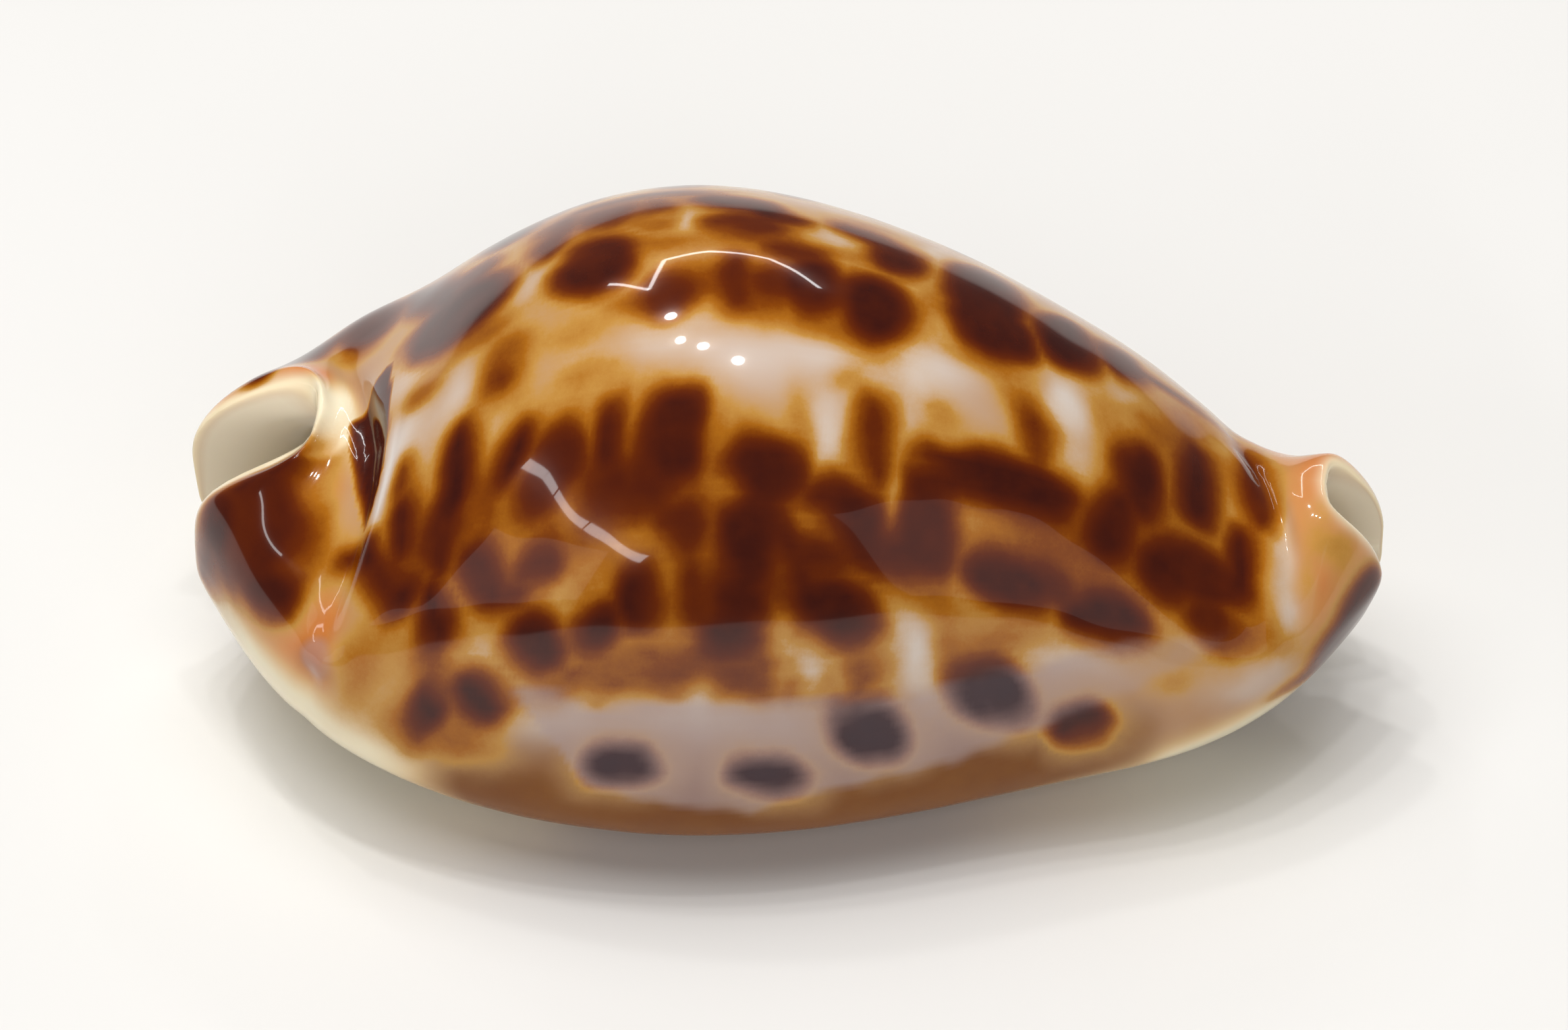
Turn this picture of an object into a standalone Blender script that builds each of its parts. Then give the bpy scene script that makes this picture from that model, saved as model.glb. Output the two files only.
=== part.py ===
"""Cowry shell, 80 mm long, as one closed hollow solid.

The shell lies on its base with its length along X: the front end, with the
narrow canal, is at +X, and the rear end, with the wide canal, at -X. The outer
lip is on the -Y side. The aperture is the toothed slit along the underside.

A section is taken at each angle psi from the rim of the rear canal (0) to the
rim of the front canal (180 degrees), so the sections are close together at the
two ends. Around a section the angle a starts at the line along the back and
grows on both sides down to the lips. The outer sheet, the two lips and the wall
of the hollow make one closed loop per section, and the loops close on the rims
of the two canals.
"""
import bpy
import numpy as np

MM = 0.001
PI = np.pi

# Driving dimensions, in millimetres unless a name says otherwise
HALF_LENGTH = 40.0
ROOF = 2.0                    # wall over the back
FLOOR = 4.6                   # wall along the base
LIP_ROUND = 1.4               # rounding of the two lips
RIM_WEAR = 0.32               # rounding of the canals' rims
REAR_TOP_WEAR = 1.3           # more rounding at the notch's top
FRONT_TOP_WEAR = 0.8
REAR = {"half": 3.8, "recess": 8.5, "foot": 3.0, "power": 2.7}
FRONT = {"half": 2.4, "recess": 3.8, "foot": 3.0, "power": 2.1}
ROUND_TOP_DEG = 38.0          # how soon a canal's rim turns down from its top
TOOTH_PITCHES = 30            # pitches from end to end, teeth stand on the middle 24
OUTER_TOOTH = 0.62
INNER_TOOTH = 0.24
MIDDLE = np.array([-0.27, 0.40, 0.0])    # bottom centre of the shell's box, the part's origin

# Stations along the length, and the form of the shell at each
STATIONS = [-40, -36, -31, -24, -14, -5, 4, 12, 19, 26, 33, 37, 40]
OUTER_SIDE = [8.5, 15.6, 19.1, 19.9, 19.6, 19.0, 17.7, 16.2, 15.4, 15.6, 15.0, 12.4, 7.5]
INNER_SIDE = [7.0, 14.0, 18.5, 20.0, 20.2, 19.8, 18.2, 16.6, 14.8, 12.9, 9.6, 8.9, 8.0]
MARGIN_Z = [13.0, 11.8, 10.8, 9.8, 9.2, 9.0, 9.0, 9.2, 9.6, 10.2, 11.4, 12.4, 13.0]
BASE_Z = [5.0, 3.2, 1.4, 0.1, -0.7, -0.75, -0.75, -0.7, 0.1, 1.4, 3.4, 5.2, 7.0]
HOLLOW = [0.0, 0.0, 0.10, 0.55, 0.80, 0.83, 0.82, 0.80, 0.74, 0.52, 0.10, 0.0, 0.0]
BACK_DEG = [0, 12, 24, 36, 46, 58, 70, 82, 94, 106, 118, 129, 138, 146, 154, 166, 180]
BACK_Z = [22.0, 22.9, 22.8, 22.2, 24.2, 30.1, 35.3, 37.2, 36.2,
          33.2, 28.9, 24.2, 20.5, 19.2, 19.6, 19.9, 19.8]
SLIT_AT = [-40, -32, -20, -5, 12, 28, 40]
SLIT_HALF = [1.6, 1.7, 1.9, 2.1, 2.4, 2.9, 2.0]
SLIT_Y = [2.2, 1.2, -0.9, -1.5, -1.4, -0.8, -0.2]

# Creases across the back, by the angle a (negative on the outer lip's side):
# where the crease lies (psi), its depth and its width
COLLAR_A = [-180, -100, -70, -55, -45, -33, -24, -14, -6, 0, 8, 17, 32, 180]
COLLAR_PSI = [36, 38, 40.5, 42.2, 43.2, 44.2, 44.6, 43.8, 42, 40.4, 38.8, 37.0, 35, 35]
COLLAR_DEPTH = [0, 0.1, 0.4, 0.55, 0.6, 0.62, 0.66, 0.74, 0.8, 0.8, 0.65, 0.4, 0, 0]
COLLAR_WIDTH = [0.9, 0.9, 0.9, 0.9, 0.9, 1.0, 1.1, 1.3, 1.4, 1.4, 1.4, 1.4, 1.4, 1.4]
NECK_A = [-180, -110, -60, -33, -23, -12, -3, 10, 19, 40, 180]
NECK_PSI = [148, 148, 150, 151, 150.8, 149.8, 148.2, 145.4, 142.6, 139, 136]
NECK_DEPTH = [0, 0, 0.2, 0.36, 0.4, 0.42, 0.42, 0.4, 0.3, 0.1, 0]

# Lumps: psi, a, side (-1 is the outer lip's), height, radius
SPIRE = (42, 50, 1, 0.55, 3.8)
NODULE = (41.1, 70.5, -1, 0.7, 0.95)

# Steps of the mesh: rows along, and steps over the back, round a lip and in the hollow
ROWS, BACK, LIP, INSIDE = 90, 30, 4, 15


def curve(at, values, t):
    """Smooth curve through the points (at, values), read at t (natural cubic spline)."""
    at = np.asarray(at, float)
    values = np.asarray(values, float)
    count = len(at)
    gap = np.diff(at)
    matrix = np.eye(count)
    right = np.zeros(count)
    for i in range(1, count - 1):
        matrix[i, i - 1:i + 2] = gap[i - 1], 2 * (gap[i - 1] + gap[i]), gap[i]
        right[i] = 6 * ((values[i + 1] - values[i]) / gap[i] - (values[i] - values[i - 1]) / gap[i - 1])
    bend = np.linalg.solve(matrix, right)
    t = np.clip(t, at[0], at[-1])
    k = np.clip(np.searchsorted(at, t) - 1, 0, count - 2)
    past, left, width = t - at[k], at[k + 1] - t, gap[k]
    return ((bend[k] * left ** 3 + bend[k + 1] * past ** 3) / (6 * width)
            + (values[k] / width - bend[k] * width / 6) * left
            + (values[k + 1] / width - bend[k + 1] * width / 6) * past)


def smooth(t):
    """0 below 0, 1 above 1, an S between."""
    t = np.clip(t, 0, 1)
    return t * t * (3 - 2 * t)


def bell(t):
    return np.exp(-t * t)


def rad(angle):
    return np.radians(angle)


def row_angle(u):
    """Angle psi of the row at the share u of the way along, rows evenly spaced in the middle."""
    return PI * (u + 0.06 * np.sin(2 * PI * u))


def rise(psi):
    """0 on the two rims, 1 from 22 degrees inwards."""
    return smooth(psi / rad(22)) * smooth((PI - psi) / rad(22))


def greatest_angle(psi, side, wall):
    """Half width of the section, and the angle a at which the sheet meets its lip."""
    x = -HALF_LENGTH * np.cos(psi)
    full = np.where(side < 0, curve(STATIONS, OUTER_SIDE, x), curve(STATIONS, INNER_SIDE, x))
    full = full * np.where(wall > 0, curve(STATIONS, HOLLOW, x), 1)
    t = (1 - np.cos(psi)) / 2
    width = REAR["half"] * (1 - t) + FRONT["half"] * t - 0.4 * rise(psi) * wall + full * np.sin(psi)
    edge = curve(SLIT_AT, SLIT_HALF, x) + LIP_ROUND * rise(psi)
    return width, PI - np.arcsin(np.clip(edge / width, 0, 0.98))


def sheet(psi, share, side, wall):
    """Points of the outer sheet (wall 0) or of the hollow's wall (wall 1).

    share runs from 0 on the line along the back to 1 at the lip. Returns the points and a.
    """
    x = -HALF_LENGTH * np.cos(psi)
    width, last = greatest_angle(psi, side, wall)
    a = share * last
    inside = rise(psi) * wall
    margin = curve(STATIONS, MARGIN_Z, x)
    base = curve(STATIONS, BASE_Z, x) + FLOOR * inside
    back = curve(rad(np.array(BACK_DEG)), BACK_Z, psi) - ROOF * inside
    under = smooth((a - rad(55)) / rad(70))
    z = margin + ((back - margin) * (1 - under) + (margin - base) * under) * np.cos(a)

    # near the rims the section has a broad round top
    near_rim = 2 - smooth(psi / rad(32)) - smooth((PI - psi) / rad(32))
    turn = 1 - np.clip(a / rad(ROUND_TOP_DEG), 0, 1)
    broad = np.where(a < PI / 2, np.sqrt(1 - turn * turn), np.sin(a))
    y = side * width * (np.sin(a) * (1 - near_rim) + broad * near_rim)
    y = y + curve(SLIT_AT, SLIT_Y, x) * smooth((a - rad(95)) / rad(80))

    # the rims are notched at the top and cut back at the foot
    rear = (1 + np.cos(np.clip(psi * 3, 0, PI))) / 2
    front = (1 + np.cos(np.clip((PI - psi) * 3, 0, PI))) / 2
    top = np.cos(np.clip(a, 0, PI / 2))
    foot = smooth((a - rad(110)) / rad(70))
    x = x + rear * (REAR["recess"] * top ** REAR["power"] + REAR["foot"] * foot)
    x = x - front * (FRONT["recess"] * top ** FRONT["power"] + FRONT["foot"] * foot)

    # the outer lip's tips are drawn in, the inner lip's rear tip stands out
    drawn_in = 0.45 * smooth((a - rad(55)) / rad(30)) + 0.6 * smooth((a - rad(100)) / rad(40))
    x = x + rear * np.where(side < 0, drawn_in, -0.6 * bell((a - rad(75)) / rad(40)))
    x = x - front * np.where(side < 0, 0.9 * smooth((a - rad(80)) / rad(40)), 0)
    return np.stack(np.broadcast_arrays(x, y, z), -1), a


def sections(psi, back, lip, inside):
    """The closed loop of each section: outer sheet, inner lip, hollow, outer lip."""
    v = np.linspace(-1, 1, back + 1)[None, :]
    q = np.linspace(1, -1, inside + 1)[None, :]
    v_side = np.where(v < 0, -1.0, 1.0)
    q_side = np.where(q < 0, -1.0, 1.0)
    skin, a_skin = sheet(psi, np.abs(v), v_side, 0.0)
    wall, a_wall = sheet(psi, np.abs(q), q_side, 1.0)
    t = np.linspace(0, 1, lip + 1)[None, 1:-1, None]

    def nose(start, end, side):
        """Lip from the skin's edge to the hollow's edge, bulging over the slit."""
        bulge = (LIP_ROUND + 0.4) * rise(psi)[..., None] * np.array([0, -side, 0])
        start, end = start[:, None], end[:, None]
        return ((1 - t) ** 3 * start + 3 * (1 - t) ** 2 * t * (start + bulge)
                + 3 * (1 - t) * t * t * (end + bulge) + t ** 3 * end)

    inner_lip = nose(skin[:, -1], wall[:, 0], 1.0)
    outer_lip = nose(skin[:, 0], wall[:, -1], -1.0)[:, ::-1]
    across = np.broadcast_to(t[0, :, 0], inner_lip.shape[:2])
    flat = np.zeros(across.shape)
    info = {
        "a": np.concatenate([a_skin, flat + PI, a_wall, flat + PI], 1),
        "side": np.concatenate([a_skin * 0 + v_side, flat + 1, a_wall * 0 + q_side, flat - 1], 1),
        "lip": np.concatenate([a_skin * 0, across, a_wall * 0 + 1, across[:, ::-1]], 1),
    }
    return np.concatenate([skin, inner_lip, wall, outer_lip], 1), info


def outward(points):
    """Unit normals of the grid of loops."""
    along = np.gradient(points, axis=0)
    around = np.roll(points, -1, 1) - np.roll(points, 1, 1)
    normal = np.cross(along, around)
    return normal / np.maximum(np.linalg.norm(normal, axis=-1, keepdims=True), 1e-9)


def worn_rims(psi, points, info, back, lip, inside):
    """Rounds the rims of the two canals.

    Each point near a rim is averaged with those beside it on the path that runs
    up the skin, over the rim and into the hollow. The weights are a bell that
    narrows to nothing three widths away from the rim.
    """
    count = int((psi < rad(44)).sum())
    v = np.linspace(-1, 1, back + 1)[None, :]
    opposite = sheet(psi, np.abs(v), np.where(v < 0, -1.0, 1.0), 1.0)[0]
    top = smooth((38 - np.degrees(info["a"][0, :back + 1])) / 30)
    move = np.zeros(points.shape)
    for rows, top_wear in ((slice(0, count), REAR_TOP_WEAR), (slice(-1, -count - 1, -1), FRONT_TOP_WEAR)):
        skin, wall = points[rows, :back + 1], opposite[rows]
        path = np.concatenate([skin[:0:-1], wall])
        steps = np.linalg.norm(np.diff(path, axis=0), axis=-1)
        along = np.concatenate([np.zeros((1, back + 1)), np.cumsum(steps, 0)])
        along = along - along[count - 1]
        wear = RIM_WEAR + (top_wear - RIM_WEAR) * top
        width = wear * np.maximum(1 - np.abs(along) / (3 * wear), 0.001)
        weight = bell((along[None] - along[:, None]) / width[:, None]) * np.gradient(along, axis=0)[None]
        eased = np.einsum("ijc,jck->ick", weight, path) / weight.sum(1)[..., None]
        move[rows, :back + 1] = eased[count - 1::-1] - skin
        move[rows, back + lip:back + lip + inside + 1] = (eased[count - 1:] - wall)[:, ::-(back // inside)]

    # the lips follow the skin's edge and the hollow's edge
    share = np.linspace(0, 1, lip + 1)[None, 1:-1, None]
    first, last = back + lip, back + lip + inside
    move[:, back + 1:first] = move[:, back:back + 1] * (1 - share) + move[:, first:first + 1] * share
    move[:, last + 1:] = move[:, last:last + 1] * (1 - share) + move[:, :1] * share
    return points + move


def skin_point(psi_deg, a_deg, side):
    """The point of the plain outer sheet at psi and a, in degrees."""
    psi = np.array([[rad(psi_deg)]])
    last = greatest_angle(psi, side, 0.0)[1]
    return sheet(psi, rad(a_deg) / last, side, 0.0)[0][0, 0]


def relief(u, psi, points, info):
    """Height of the creases, lumps and teeth over the plain sheet.

    A crease is a bell-shaped trough with a low swelling beside it, a lump is a
    bell round its centre, and the teeth are a raised cosine along the lips.
    """
    a_deg = np.degrees(info["a"])
    skin = info["lip"] <= 0
    left = info["side"] < 0
    x_plain = -HALF_LENGTH * np.cos(psi)

    signed = np.where(left, -a_deg, a_deg)
    depth = np.interp(signed, COLLAR_A, COLLAR_DEPTH)
    width = np.interp(signed, COLLAR_A, COLLAR_WIDTH)
    past = (psi - rad(np.interp(signed, COLLAR_A, COLLAR_PSI))) * 30
    height = np.where(skin, depth * (0.3 * bell((past - 1.8 - width) / 2.0) - bell(past / width)), 0)

    depth = np.interp(signed, NECK_A, NECK_DEPTH)
    past = (psi - rad(np.interp(signed, NECK_A, NECK_PSI))) * 26
    height = height + np.where(skin, depth * (0.5 * bell((past + 2.4) / 1.7) - bell(past / 1.2)), 0)

    for psi_deg, lump_a, side, high, radius in (SPIRE, NODULE):
        away = np.linalg.norm(points - skin_point(psi_deg, lump_a, side), axis=-1)
        height = height + np.where(skin, high * bell(away / radius), 0)

    toothed = smooth((u - 0.085) / 0.05) * smooth((0.915 - u) / 0.05)
    wave = ((1 + np.cos(2 * PI * TOOTH_PITCHES * u)) / 2) ** 1.3
    edge = curve(SLIT_AT, SLIT_HALF, x_plain) + LIP_ROUND
    away = np.abs(points[..., 1] - curve(SLIT_AT, SLIT_Y, x_plain)) - edge
    on_base = 0.5 * (1 - smooth(away / np.where(left, 2.6, 1.2))) * (a_deg > 120)
    on_lip = (0.5 + 0.5 * smooth(info["lip"] / 0.35)) * (1 - smooth((info["lip"] - 0.5) / 0.4))
    tall = np.where(left, OUTER_TOOTH, INNER_TOOTH * (1 + smooth(np.abs(u - 0.5) * 3)))
    return height + tall * toothed * wave * np.where(skin, on_base, on_lip)


def shell_grid(rows, back, lip, inside):
    """All sections as a grid of points, with the small forms and the flats it rests on."""
    u = np.linspace(0, 1, rows + 1)[:, None]
    psi = row_angle(u)
    points, info = sections(psi, back, lip, inside)
    points = worn_rims(psi, points, info, back, lip, inside)
    height = relief(u, psi, points, info) * rise(psi)
    points = points + outward(points) * height[..., None]
    points[..., 2] = np.maximum(points[..., 2], 0)
    return points - MIDDLE


def shell_mesh(rows, back, lip, inside):
    """Vertices and faces of the closed solid.

    The first and last rows are the canals' rims, where the skin and the hollow
    share their points, so each of those rows keeps only the skin's points.
    """
    grid = shell_grid(rows, back, lip, inside)
    around = grid.shape[1]
    step = back // inside
    rim_of = (list(range(back + 1)) + [back] * (lip - 1)
              + [back - step * k for k in range(inside + 1)] + [0] * (lip - 1))
    middle = (rows - 1) * around
    verts = np.concatenate([grid[1:-1].reshape(-1, 3), grid[0, :back + 1], grid[-1, :back + 1]]) * MM

    def rim_path(start, column):
        first, last = rim_of[column], rim_of[(column + 1) % around]
        way = 1 if last >= first else -1
        return [start + k for k in range(first, last + way, way)]

    faces = []
    for column in range(around):
        beside = (column + 1) % around
        for row in range(rows - 2):
            here, there = row * around, (row + 1) * around
            faces.append([here + column, there + column, there + beside, here + beside])
        faces.append([column, beside] + rim_path(middle, column)[::-1])
        end = (rows - 2) * around
        faces.append([end + beside, end + column] + rim_path(middle + back + 1, column))
    return verts, faces


def clear_scene():
    for obj in list(bpy.data.objects):
        bpy.data.objects.remove(obj, do_unlink=True)


def shell_material():
    material = bpy.data.materials.new("glazed_shell")
    material.use_nodes = True
    shader = material.node_tree.nodes["Principled BSDF"]
    shader.inputs["Base Color"].default_value = (0.52, 0.27, 0.11, 1.0)
    shader.inputs["Roughness"].default_value = 0.16
    shader.inputs["Metallic"].default_value = 0.0
    return material


def main():
    clear_scene()
    verts, faces = shell_mesh(ROWS, BACK, LIP, INSIDE)
    mesh = bpy.data.meshes.new("cowry_shell")
    mesh.from_pydata([tuple(v) for v in verts], [], faces)
    mesh.validate()
    mesh.update()
    mesh.shade_smooth()
    mesh.set_sharp_from_angle(angle=rad(50))
    mesh.materials.append(shell_material())
    shell = bpy.data.objects.new("cowry_shell", mesh)
    bpy.context.scene.collection.objects.link(shell)


main()
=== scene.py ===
"""The looks of the cowry shell: its fine surface, its stains and gloss, the floor, the lights and the camera.

The shell's surface is the one that the solid has, worked out again here with finer steps. A section is taken
at each angle psi from the rear canal's rim (0) to the front canal's rim (180 degrees). Around a section the
angle a starts at the line along the back and grows on both sides down to the lips.

The stains are given where they lie on the surface: x is the place along the length, and girth is the distance
around the shell from the line along the back, negative on the outer lip's side, both in millimetres.
"""

import bpy
import numpy as np
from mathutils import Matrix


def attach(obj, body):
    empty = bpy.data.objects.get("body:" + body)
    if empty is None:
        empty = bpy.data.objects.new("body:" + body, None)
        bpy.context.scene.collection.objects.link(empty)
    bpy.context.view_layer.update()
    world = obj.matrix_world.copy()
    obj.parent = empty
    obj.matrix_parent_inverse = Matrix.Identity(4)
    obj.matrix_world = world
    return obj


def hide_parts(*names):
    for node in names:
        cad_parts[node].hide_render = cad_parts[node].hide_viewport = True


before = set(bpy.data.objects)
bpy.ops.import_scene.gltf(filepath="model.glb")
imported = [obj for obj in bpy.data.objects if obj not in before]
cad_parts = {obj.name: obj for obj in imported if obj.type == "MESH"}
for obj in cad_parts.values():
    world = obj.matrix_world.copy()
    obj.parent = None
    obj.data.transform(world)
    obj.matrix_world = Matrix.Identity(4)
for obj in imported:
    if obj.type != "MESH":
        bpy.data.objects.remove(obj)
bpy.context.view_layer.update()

MM = 0.001
PI = np.pi

# Driving dimensions, in millimetres unless a name says otherwise
HALF_LENGTH = 40.0
ROOF = 2.0
FLOOR = 4.6
LIP_ROUND = 1.4
RIM_WEAR = 0.32
REAR_TOP_WEAR = 1.3
FRONT_TOP_WEAR = 0.8
REAR = {"half": 3.8, "recess": 8.5, "foot": 3.0, "power": 2.7}
FRONT = {"half": 2.4, "recess": 3.8, "foot": 3.0, "power": 2.1}
ROUND_TOP_DEG = 38.0
BLEND_DEG = 22.0
NEAR_RIM_DEG = 32.0
WORN_DEG = 44.0
WALL_AT_RIM = 0.4
LIP_EXTRA = 0.4
TOOTH_PITCHES = 30
TEETH_START, TEETH_EASE = 0.085, 0.05
TOOTH_POWER = 1.3
TEETH_FROM_DEG = 120
OUTER_TOOTH, OUTER_TOOTH_REACH = 0.62, 2.6
INNER_TOOTH, INNER_TOOTH_REACH = 0.24, 1.2
REAR_TIP_IN, REAR_FOOT_IN, FRONT_TIP_IN = 0.45, 0.6, 0.9
INNER_TIP_OUT = 0.6
MIDDLE = np.array([-0.27, 0.40, 0.0])

# Where the form changes around the section, as bands of the angle a in degrees
UNDERSIDE = 55, 125
SLIT_SHIFT = 95, 175
FOOT_CUT = 110, 180
REAR_TIP = 55, 85
REAR_FOOT = 100, 140
FRONT_TIP = 80, 120
TOP_WEAR_ENDS = 8, 38
RIPPLES_END = 105, 135

# Stations along the length, and the form of the shell at each
STATIONS = [-40, -36, -31, -24, -14, -5, 4, 12, 19, 26, 33, 37, 40]
OUTER_SIDE = [8.5, 15.6, 19.1, 19.9, 19.6, 19.0, 17.7, 16.2, 15.4, 15.6, 15.0, 12.4, 7.5]
INNER_SIDE = [7.0, 14.0, 18.5, 20.0, 20.2, 19.8, 18.2, 16.6, 14.8, 12.9, 9.6, 8.9, 8.0]
MARGIN_Z = [13.0, 11.8, 10.8, 9.8, 9.2, 9.0, 9.0, 9.2, 9.6, 10.2, 11.4, 12.4, 13.0]
BASE_Z = [5.0, 3.2, 1.4, 0.1, -0.7, -0.75, -0.75, -0.7, 0.1, 1.4, 3.4, 5.2, 7.0]
HOLLOW = [0.0, 0.0, 0.10, 0.55, 0.80, 0.83, 0.82, 0.80, 0.74, 0.52, 0.10, 0.0, 0.0]
BACK_DEG = [0, 12, 24, 36, 46, 58, 70, 82, 94, 106, 118, 129, 138, 146, 154, 166, 180]
BACK_Z = [22.0, 22.9, 22.8, 22.2, 24.2, 30.1, 35.3, 37.2, 36.2,
          33.2, 28.9, 24.2, 20.5, 19.2, 19.6, 19.9, 19.8]
SLIT_AT = [-40, -32, -20, -5, 12, 28, 40]
SLIT_HALF = [1.6, 1.7, 1.9, 2.1, 2.4, 2.9, 2.0]
SLIT_Y = [2.2, 1.2, -0.9, -1.5, -1.4, -0.8, -0.2]

# Creases across the back, by the angle a (negative on the outer lip's side): where the crease is (psi), its
# depth and half width in mm, and the length along the surface for each radian of psi. Beside each crease is a
# swelling: its share of the depth, its distance (the collar's from the crease's edge) and its half width.
COLLAR_A = [-180, -100, -70, -55, -45, -33, -24, -14, -6, 0, 8, 17, 32, 180]
COLLAR_PSI = [36, 38, 40.5, 42.2, 43.2, 44.2, 44.6, 43.8, 42, 40.4, 38.8, 37.0, 35, 35]
COLLAR_DEPTH = [0, 0.1, 0.4, 0.55, 0.6, 0.62, 0.66, 0.74, 0.8, 0.8, 0.65, 0.4, 0, 0]
COLLAR_WIDTH = [0.9, 0.9, 0.9, 0.9, 0.9, 1.0, 1.1, 1.3, 1.4, 1.4, 1.4, 1.4, 1.4, 1.4]
COLLAR_SPAN = 30
COLLAR_SWELLING = (0.3, 1.8, 2.0)
NECK_A = [-180, -110, -60, -33, -23, -12, -3, 10, 19, 40, 180]
NECK_PSI = [148, 148, 150, 151, 150.8, 149.8, 148.2, 145.4, 142.6, 139, 136]
NECK_DEPTH = [0, 0, 0.2, 0.36, 0.4, 0.42, 0.42, 0.4, 0.3, 0.1, 0]
NECK_WIDTH = 1.2
NECK_SPAN = 26
NECK_SWELLING = (0.5, -2.4, 1.7)

# Lumps: psi and a in degrees, side (-1 is the outer lip's), height and radius in mm
SPIRE = (42, 50, 1, 0.55, 3.8)
NODULE = (41.1, 70.5, -1, 0.8, 1.45)
NODULE_TONE_RADIUS = 1.6

# Width in mm of the pale edge of the two canals' rims, on the skin and inside
RIM_ON_SKIN, RIM_INSIDE = 0.9, 1.2

# Slight unevenness of the enamel, in mm
RIPPLE_HEIGHT, RIPPLE_LENGTH = 0.012, 4.5
MEAN_RADIUS = 20

# Steps of the mesh: rows along, and steps over the back, round a lip and in the hollow
ROWS, BACK, LIP, INSIDE = 288, 220, 12, 44

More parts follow.
